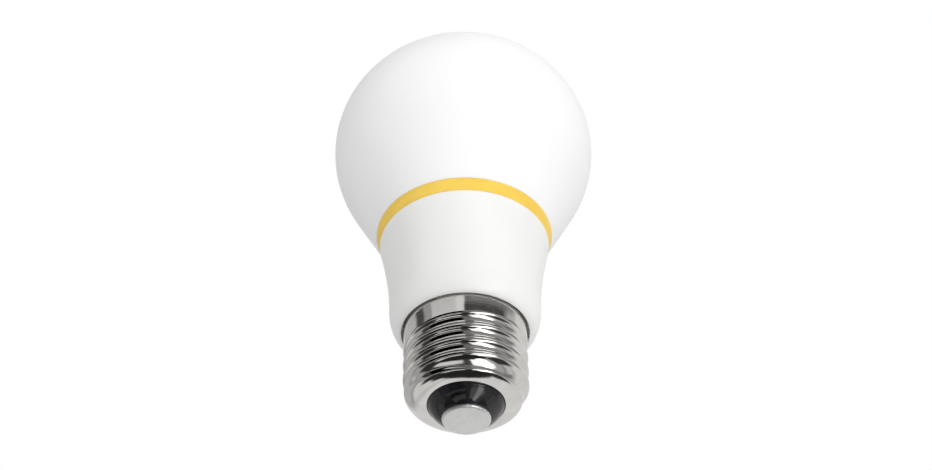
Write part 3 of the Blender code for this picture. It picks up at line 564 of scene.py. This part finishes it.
def make_camera():
    """The camera in front of the bulb and below it, looking up past the cap, as in the photograph."""
    aim = Vector((0.39, 0.0, 51.46)) * MM
    distance = 378.18 * MM
    climb = math.radians(42.33)
    roll = math.radians(-0.70)
    forward = Vector((0.0, math.cos(climb), math.sin(climb)))
    level_up = Vector((0.0, -math.sin(climb), math.cos(climb)))
    right = Vector((math.cos(roll), 0.0, 0.0)) + level_up * math.sin(roll)
    up = right.cross(forward)
    matrix = Matrix((right, up, -forward)).transposed().to_4x4()
    matrix.translation = aim - forward * distance
    camera = bpy.data.objects.new("camera", bpy.data.cameras.new("camera"))
    camera.data.sensor_width = 36.0
    camera.data.lens = 64.96
    camera.data.clip_start = 0.01
    camera.matrix_world = matrix
    bpy.context.scene.collection.objects.link(camera)
    bpy.context.scene.camera = camera


def make_floor():
    """A pale floor below the camera. Reflections pass it, so the metal mirrors the panels under the bulb."""
    half_size, drop = 15.0, 0.6
    pale, paler = (0.875, 0.875, 0.875), (0.885, 0.885, 0.885)
    shape = bmesh.new()
    bmesh.ops.create_grid(shape, x_segments=8, y_segments=8, size=half_size)
    floor = finished("studio_floor", shape)
    floor.location.z = -drop
    floor.visible_glossy = False
    floor.data.materials.append(plain("pale_floor", pale, paler, 0.8, 60.0))


def hang(light, location, aim):
    """Puts a light in the studio, turned to its aim and hidden from reflections."""
    obj = bpy.data.objects.new(light.name, light)
    obj.visible_glossy = False
    obj.location = location
    obj.rotation_euler = (Vector(aim) - Vector(location)).to_track_quat("-Z", "Y").to_euler()
    bpy.context.scene.collection.objects.link(obj)


def area_light(name, location, aim, side, power):
    """A square soft light. Places and sides are in metres, and powers in watts."""
    light = bpy.data.lights.new(name, "AREA")
    light.shape = "RECTANGLE"
    light.size = light.size_y = side
    light.energy = power
    hang(light, location, aim)


def spot_light(name, location, aim, cone, power):
    """A snooted lamp with a soft edge, whose cone is given in degrees."""
    light = bpy.data.lights.new(name, "SPOT")
    light.spot_size = math.radians(cone)
    light.spot_blend = 0.6
    light.shadow_soft_size = 0.05
    light.energy = power
    hang(light, location, aim)


def math_node(tree, operation, *values):
    """A Math node whose inputs are numbers or other nodes' outputs."""
    node = tree.nodes.new("ShaderNodeMath")
    node.operation = operation
    for socket, value in zip(node.inputs, values):
        if isinstance(value, (int, float)):
            socket.default_value = value
        else:
            tree.links.new(value, socket)
    return node.outputs["Value"]


def edge(tree, angle, start, end):
    """A soft edge: 0 at one angle and 1 at the other."""
    span = tree.nodes.new("ShaderNodeMapRange")
    span.interpolation_type = "SMOOTHSTEP"
    span.inputs["From Min"].default_value = math.radians(start)
    span.inputs["From Max"].default_value = math.radians(end)
    tree.links.new(angle, span.inputs["Value"])
    return span.outputs["Result"]


FRONT_LEVEL = 0.18  # brightness where no panel stands
PANELS = (
    # from, to bearing; from, to elevation; softness of the edges; brightness. Later ones cover earlier ones.
    # Behind
    (102, 400, -120, 120, 8, 0.77),
    (-400, -150, -120, 120, 8, 0.77),
    # Left and right sides
    (-150, -99, -120, -22, 8, 0.72),
    (-150, -99, -18, 120, 8, 0.52),
    (84, 102, -120, 120, 6, 0.6),
    (80, 98, -10, 38, 4, 0.22),
    (-102, -81, -120, 120, 4, 0.4),
    (-102, -81, 16, 60, 4, 0.08),
    # Front left
    (-81, -62, 30, 60, 3, 0.36),
    (-81, -62, -20, 28, 4, 0.04),
    (-64, -1.5, 31, 80, 1.5, 0.62),
    (-16, -1.5, 31, 80, 3, 0.75),
    (-64, -1.5, -29, 29, 2, 0.0),
    (-66, -2, -38, -30, 1.5, 0.5),
    (-66, -2, -50, -39, 1.5, 0.0),
    (-66, -2, -67, -52, 2, 0.75),
    # Front right
    (-2, 17, -70, -34, 3, 0.06),
    (54, 80, -44, -6, 4, 0.42),
    (10, 78, 4, 34, 3, 0.32),
    (-1.5, 76, 37.5, 43, 1.5, 0.06),
    (20, 66, 45, 80, 2, 1.5),
    (20, 56, -30, -14, 3, 0.9),
    (16, 62, -62, -24, 2, 1.3),
    (36, 53, -66, -13, 3, 4.2),
    (56, 72, -70, -43, 3, 0.5),
    # Low on both sides, and straight below
    (-122, -68, -69, -41, 4, 0.03),
    (-136, -68, -69, -57, 3, 0.03),
    (74, 124, -69, -43, 4, 0.04),
    (-400, 400, -120, -65.5, 1.5, 0.02),
)


def reflected_room(tree):
    """What the gloss mirrors: panels and flags round the bulb, as brightness by bearing and elevation.

    A bearing of 0 is in front of the bulb, on the camera's side, and 90 is to the right.
    """
    coordinates = tree.nodes.new("ShaderNodeTexCoord")
    split = tree.nodes.new("ShaderNodeSeparateXYZ")
    tree.links.new(coordinates.outputs["Generated"], split.inputs["Vector"])
    x, y, z = (split.outputs[axis] for axis in "XYZ")
    bearing = math_node(tree, "ARCTAN2", x, math_node(tree, "MULTIPLY", y, -1.0))
    elevation = math_node(tree, "ARCSINE", z)
    level = FRONT_LEVEL
    for left, right, low, high, soft, brightness in PANELS:
        sides = (
            edge(tree, bearing, left - soft, left + soft),
            edge(tree, bearing, right + soft, right - soft),
            edge(tree, elevation, low - soft, low + soft),
            edge(tree, elevation, high + soft, high - soft),
        )
        mask = sides[0]
        for side in sides[1:]:
            mask = math_node(tree, "MULTIPLY", mask, side)
        step = math_node(tree, "SUBTRACT", brightness, level)
        level = math_node(tree, "MULTIPLY_ADD", mask, step, level)
    return level


def make_world():
    """A white studio: white behind the bulb, an even fill, and panels that only the gloss shows."""
    world = bpy.data.worlds.new("studio")
    world.use_nodes = True
    tree = world.node_tree
    tree.nodes.clear()
    path = tree.nodes.new("ShaderNodeLightPath")
    fill = tree.nodes.new("ShaderNodeBackground")
    fill.inputs["Color"].default_value = (0.73, 0.73, 0.735, 1.0)
    panels = tree.nodes.new("ShaderNodeBackground")
    tree.links.new(reflected_room(tree), panels.inputs["Color"])
    backdrop = tree.nodes.new("ShaderNodeBackground")
    backdrop.inputs["Color"].default_value = (1.0, 1.0, 1.0, 1.0)
    output = tree.nodes.new("ShaderNodeOutputWorld")
    shown = fill.outputs["Background"]
    for ray, background in (("Is Glossy Ray", panels), ("Is Camera Ray", backdrop)):
        mix = tree.nodes.new("ShaderNodeMixShader")
        tree.links.new(path.outputs[ray], mix.inputs["Fac"])
        tree.links.new(shown, mix.inputs[1])
        tree.links.new(background.outputs["Background"], mix.inputs[2])
        shown = mix.outputs["Shader"]
    tree.links.new(shown, output.inputs["Surface"])
    world.cycles.sampling_method = "NONE"
    bpy.context.scene.world = world


def make_studio():
    """The camera, the floor, the world, a key light on the right and a narrow lamp on the globe."""
    make_camera()
    make_floor()
    make_world()
    area_light("key", (0.56, -0.8, -0.12), (0, 0, 0.06), 0.6, 3.6)
    spot_light("globe_spot", (-0.08, -0.6, 0.04), (0, 0, 0.086), 7.5, 4.6)
    bpy.context.scene.view_settings.view_transform = "Standard"


make_studio()
make_globe()
make_ring()
make_housing()
make_shell()
make_insulator()
make_contact()
dress_inside()
